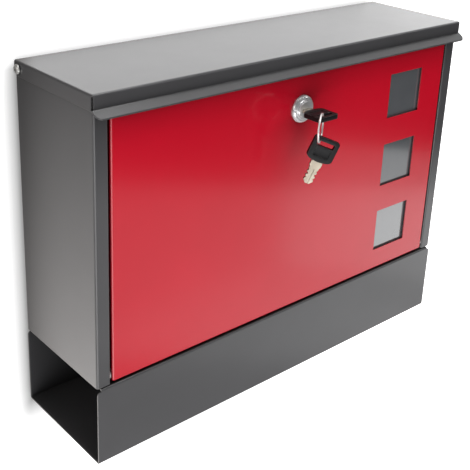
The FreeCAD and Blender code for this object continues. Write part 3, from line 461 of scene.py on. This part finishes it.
def mouldBow():
    look = keyBow
    half, middle, thick = look["width"] / 2, look["length"] / 2, look["thick"]
    bpy.ops.object.select_all(action="DESELECT")
    bpy.ops.mesh.primitive_plane_add(size=look["width"], location=(0, middle, 0))
    piece = bpy.context.active_object
    bpy.ops.transform.resize(value=(1, look["length"] / look["width"], 1), center_override=(0, middle, 0))
    bpy.ops.object.transform_apply(location=True, rotation=True, scale=True)
    bpy.ops.object.mode_set(mode="EDIT")
    across = (-look["slotHalf"], -look["panelHalf"], *look["lines"], look["panelHalf"], look["slotHalf"])
    cutAlong("x", across)
    cutAlong("y", (look["panelLow"], look["panelTop"], look["slotLow"], look["slotTop"]))
    # the inner edge is hollow: the farther a corner on it is from the middle, the more it moves in
    for spot in (-half, *across, half):
        pick(piece, "VERT", lambda at: near(at.x, spot) and near(at.y, 0))
        bpy.ops.transform.translate(value=(0, look["belly"] * (spot / half) ** 2, 0))
    pick(piece, "FACE", lambda at, facing: abs(at.x) < look["slotHalf"]
         and look["slotLow"] < at.y < look["slotTop"])
    bpy.ops.mesh.delete(type="FACE")
    bpy.ops.mesh.select_all(action="SELECT")
    bpy.ops.transform.translate(value=(0, 0, -thick / 2))
    bpy.ops.mesh.extrude_region_move(TRANSFORM_OT_translate={"value": (0, 0, thick)})
    bpy.ops.mesh.select_all(action="SELECT")
    bpy.ops.mesh.normals_make_consistent(inside=False)
    pick(piece, "EDGE", lambda at, way: upright(way) and near(abs(at.x), half)
         and (near(at.y, look["length"]) or near(at.y, look["belly"])))
    bpy.ops.mesh.bevel(offset=look["corner"], segments=look["cornerSteps"], affect="EDGES")
    pick(piece, "EDGE", lambda at, way: upright(way) and near(abs(at.x), look["slotHalf"])
         and (near(at.y, look["slotLow"]) or near(at.y, look["slotTop"])))
    bpy.ops.mesh.bevel(offset=look["slotCorner"], segments=look["slotSteps"], affect="EDGES")
    # a shallow panel in each face
    for side in (1, -1):
        pick(piece, "FACE", lambda at, facing: upright(facing) and facing.z * side > 0
             and abs(at.x) < look["panelHalf"] and look["panelLow"] < at.y < look["panelTop"])
        bpy.ops.mesh.inset(thickness=look["panelRim"], depth=-look["panelDeep"])
    bpy.ops.object.mode_set(mode="OBJECT")
    rounding = piece.modifiers.new("rounding", "BEVEL")
    rounding.width = look["edge"]
    rounding.segments = look["edgeSteps"]
    rounding.limit_method = "ANGLE"
    rounding.angle_limit = math.radians(look["edgeAngle"])
    bpy.ops.object.modifier_apply(modifier="rounding")
    bpy.ops.object.shade_smooth_by_angle(angle=math.radians(look["smoothAngle"]))
    return piece


def seatBows():
    model = mouldBow()
    for name, seat in bowSeats.items():
        soleSelect(model)
        bpy.ops.object.duplicate()
        piece = bpy.context.active_object
        piece.name = piece.data.name = name
        piece.location = seat["place"]
        piece.rotation_euler = Euler([math.radians(angle) for angle in seat["turn"]])
        bpy.ops.object.transform_apply(location=True, rotation=True, scale=True)
        piece.data.materials.append(finishes["bowPlastic"])
        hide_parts(seat["node"])
        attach(piece, seat["body"])
    soleSelect(model)
    bpy.ops.object.delete()


seatBows()
print("key bows moulded")


# stage and light

# the wall glows a little more to the camera than in what the gloss mirrors
stage = {"floor": -0.90, "floorReach": 1.2, "wallGap": 0.004, "wallReach": 4.0, "shade": 0.86,
         "floorRough": 0.8, "wallRough": 0.9, "floorGlow": 0.6, "wallGlow": 0.72, "wallExtra": 0.30}
# painted shadow on the wall round the box: half its width, its foot, how far it reaches, how fast it falls off
# and how deep it is; "drop" below 1 lets it reach farther under the box, and "top" ends it at the lid
wallShade = {"half": 0.180, "foot": -0.1775, "reach": 0.040, "fall": 2.1, "depth": 0.79, "drop": 0.55,
             "top": (0.095, 0.110, 1.0, 0.0)}
# spans of the painted shade in reflections, a dark card that only the gloss sees: from, to, and how much glow
# it takes away at each end
paintedReflectionShade = {"left": (-0.19, -0.165, 1.0, 0.0), "high": (-0.20, 0.10, -0.24, 0.86), "tint": (1.0, 0.92, 0.87)}


def stagePlane(name, reach, at, turn):
    bpy.ops.object.select_all(action="DESELECT")
    bpy.ops.mesh.primitive_plane_add(size=reach * 2, location=at, rotation=turn)
    plane = bpy.context.active_object
    plane.name = plane.data.name = name
    bpy.ops.object.transform_apply(location=True, rotation=True, scale=True)
    return plane


def floorMaterial():
    material, tree, shader = newMaterial("paleFloor")
    light = place(tree, "ShaderNodeLightPath", -400, 300)
    glow = maths(tree, "MULTIPLY", 100, 300, light.outputs["Is Camera Ray"], stage["floorGlow"])
    tree.links.new(glow, shader.inputs["Emission Strength"])
    fill(shader, {"Base Color": (stage["shade"],) * 3 + (1,), "Roughness": stage["floorRough"],
                  "Emission Color": (1, 1, 1, 1)})
    return material


# the two numbers that the source runs between, and what they become
def mapped(tree, x, y, source, span):
    node = place(tree, "ShaderNodeMapRange", x, y)
    fill(node, dict(zip(("From Min", "From Max", "To Min", "To Max"), span)))
    tree.links.new(source, node.inputs["Value"])
    return node.outputs["Result"]


# painted shadow on the wall: 1 away from the box, less close to it, as behind anything that hangs on a wall
def paintedWallShadow(tree, across, height):
    wide = maths(tree, "ABSOLUTE", -1500, 1100, across)
    beyond = maths(tree, "SUBTRACT", -1300, 1100, wide, wallShade["half"])
    aside = maths(tree, "MAXIMUM", -1100, 1100, beyond, 0.0)
    under = maths(tree, "SUBTRACT", -1500, 1300, wallShade["foot"], height)
    drop = maths(tree, "MULTIPLY", -1300, 1300, under, wallShade["drop"])
    lower = maths(tree, "MAXIMUM", -1100, 1300, drop, 0.0)
    squares = maths(tree, "ADD", -700, 1200, maths(tree, "POWER", -900, 1100, aside, 2.0),
                    maths(tree, "POWER", -900, 1300, lower, 2.0))
    away = maths(tree, "SQRT", -500, 1200, squares)
    far = maths(tree, "DIVIDE", -300, 1200, away, wallShade["reach"])
    close = maths(tree, "SUBTRACT", -100, 1200, 1.0, far, clamp=True)
    hidden = maths(tree, "POWER", 100, 1200, close, wallShade["fall"])
    ended = maths(tree, "MULTIPLY", 300, 1200, hidden, mapped(tree, 100, 1000, height, wallShade["top"]))
    deep = maths(tree, "MULTIPLY", 500, 1200, ended, wallShade["depth"])
    return maths(tree, "SUBTRACT", 700, 1200, 1.0, deep, clamp=True)


# shows from the front, with the object's shadow, cast by the lamps and partly painted, and lets light and the
# view from behind through
def wallMaterial():
    material, tree, shader = newMaterial("paleWall")
    fill(shader, {"Roughness": stage["wallRough"]})
    light = place(tree, "ShaderNodeLightPath", -600, 300)
    side = place(tree, "ShaderNodeNewGeometry", -600, 0)
    seen = maths(tree, "MAXIMUM", -350, 300, light.outputs["Is Camera Ray"], light.outputs["Is Glossy Ray"])
    front = maths(tree, "SUBTRACT", -350, 50, 1.0, side.outputs["Backfacing"])
    shown = maths(tree, "MULTIPLY", -150, 200, seen, front)
    where = place(tree, "ShaderNodeTexCoord", -1100, 700)
    split = place(tree, "ShaderNodeSeparateXYZ", -900, 700)
    tree.links.new(where.outputs["Object"], split.inputs["Vector"])
    shadowFree = paintedWallShadow(tree, split.outputs["X"], split.outputs["Z"])
    # painted shade in reflections: on the left the wall's glow is dimmed and warmed for the gloss only, so the
    # box's side mirrors a dark card that isn't there
    left = mapped(tree, -700, 800, split.outputs["X"], paintedReflectionShade["left"])
    high = mapped(tree, -700, 550, split.outputs["Z"], paintedReflectionShade["high"])
    beside = maths(tree, "MULTIPLY", -500, 800, left, light.outputs["Is Glossy Ray"])
    mirroredShade = maths(tree, "MULTIPLY", -300, 700, beside, high)
    kept = maths(tree, "SUBTRACT", -100, 700, 1.0, mirroredShade)
    lit = maths(tree, "MULTIPLY", 50, 600, kept, shadowFree)
    extra = maths(tree, "MULTIPLY", -350, 450, light.outputs["Is Camera Ray"], stage["wallExtra"])
    level = maths(tree, "ADD", -150, 450, extra, stage["wallGlow"])
    glow = maths(tree, "MULTIPLY", 150, 450, lit, level)
    tint = blendColour(tree, 150, 900, beside, (1.0, 1.0, 1.0), paintedReflectionShade["tint"])
    tree.links.new(maths(tree, "MULTIPLY", 250, 600, lit, stage["shade"]), shader.inputs["Base Color"])
    tree.links.new(maths(tree, "MULTIPLY", 250, 300, shown, glow), shader.inputs["Emission Strength"])
    tree.links.new(tint, shader.inputs["Emission Color"])
    clear = place(tree, "ShaderNodeBsdfTransparent", 500, 200)
    mix = place(tree, "ShaderNodeMixShader", 700, 100)
    output = [node for node in tree.nodes if node.type == "OUTPUT_MATERIAL"][0]
    tree.links.new(shown, mix.inputs["Fac"])
    tree.links.new(clear.outputs["BSDF"], mix.inputs[1])
    tree.links.new(shader.outputs["BSDF"], mix.inputs[2])
    tree.links.new(mix.outputs["Shader"], output.inputs["Surface"])
    return material


def makeStage():
    floor = stagePlane("floor", stage["floorReach"], (0, 0, stage["floor"]), (0, 0, 0))
    floor.data.materials.append(floorMaterial())
    # the wall stands on the floor, with its front towards the camera
    middle = stage["floor"] + stage["wallReach"]
    wall = stagePlane("wall", stage["wallReach"], (0, stage["wallGap"], middle), (math.pi / 2, 0, 0))
    wall.data.materials.append(wallMaterial())


# white, where no colour is given
lamps = {
    "overhead": {"place": (0.10, -0.38, 1.05), "aim": (0.02, -0.05, 0.1), "size": (0.85, 0.5), "power": 7.1},
    "lowCard": {"place": (0.42, -0.58, -0.43), "aim": (0.05, -0.10, -0.05), "size": (0.95, 0.28),
                "power": 0.70},
    "rightCard": {"place": (0.70, -0.54, -0.385), "aim": (0.15, -0.10, -0.05), "size": (0.36, 0.22),
                  "power": 0.17},
    "rimStrip": {"place": (1.10, -1.00, 0.80), "aim": (0.0, -0.10, 0.05), "size": (1.0, 0.25), "power": 3.0},
    "frontFill": {"place": (-0.50, -0.85, -0.50), "aim": (0.02, -0.10, -0.05), "size": (1.0, 0.6),
                  "power": 7.0},
    "backFill": {"place": (0.10, 1.00, -0.15), "aim": (0.0, 0.0, -0.05), "size": (0.3, 0.3), "power": 6.0},
    "leftFill": {"place": (-0.75, -0.12, 0.25), "aim": (-0.15, -0.06, -0.16), "size": (0.4, 0.3),
                 "power": 1.5, "colour": (1.0, 0.96, 0.92)},
}


def makeLamps():
    for name, look in lamps.items():
        data = bpy.data.lights.new(name, "AREA")
        data.shape = "RECTANGLE"
        data.size, data.size_y = look["size"]
        data.energy = look["power"]
        data.color = look.get("colour", (1.0, 1.0, 1.0))
        lamp = bpy.data.objects.new(name, data)
        lamp.location = look["place"]
        aim = Vector(look["aim"]) - Vector(look["place"])
        lamp.rotation_euler = aim.to_track_quat("-Z", "Y").to_euler()
        lamp.visible_camera = False
        bpy.context.scene.collection.objects.link(lamp)


# white to the camera, plain grey to the surfaces, dark in what the gloss mirrors
air = {"level": 0.25, "mirrored": 0.02}


def makeWorld():
    world = bpy.data.worlds.new("studio")
    bpy.context.scene.world = world
    world.use_nodes = True
    tree = world.node_tree
    tree.nodes.clear()
    light = place(tree, "ShaderNodeLightPath", -700, 100)
    seen = maths(tree, "MAXIMUM", -500, 200, light.outputs["Is Camera Ray"],
                 light.outputs["Is Transmission Ray"])
    plain = between(tree, -500, 0, light.outputs["Is Glossy Ray"], air["level"], air["mirrored"])
    strength = maths(tree, "MAXIMUM", -100, 100, seen, plain)
    back = place(tree, "ShaderNodeBackground", 300, 0, Color=(1, 1, 1, 1))
    tree.links.new(strength, back.inputs["Strength"])
    output = place(tree, "ShaderNodeOutputWorld", 500, 0)
    tree.links.new(back.outputs["Background"], output.inputs["Surface"])


makeStage()
makeLamps()
makeWorld()
print("stage lit")


# camera

shot = {"place": (-0.462003, -0.537082, 0.268367), "turn": (69.5178, -1.8499, -39.9515),
        "lens": 68.645, "sensor": 36, "shiftX": 0.0425, "shiftY": -0.20}


def makeCamera():
    data = bpy.data.cameras.new("camera")
    data.lens = shot["lens"]
    data.sensor_width = shot["sensor"]
    data.shift_x, data.shift_y = shot["shiftX"], shot["shiftY"]
    camera = bpy.data.objects.new("camera", data)
    camera.location = shot["place"]
    camera.rotation_euler = Euler([math.radians(angle) for angle in shot["turn"]])
    bpy.context.scene.collection.objects.link(camera)
    bpy.context.scene.camera = camera


makeCamera()
bpy.context.scene.view_settings.view_transform = "Standard"
print("camera placed")
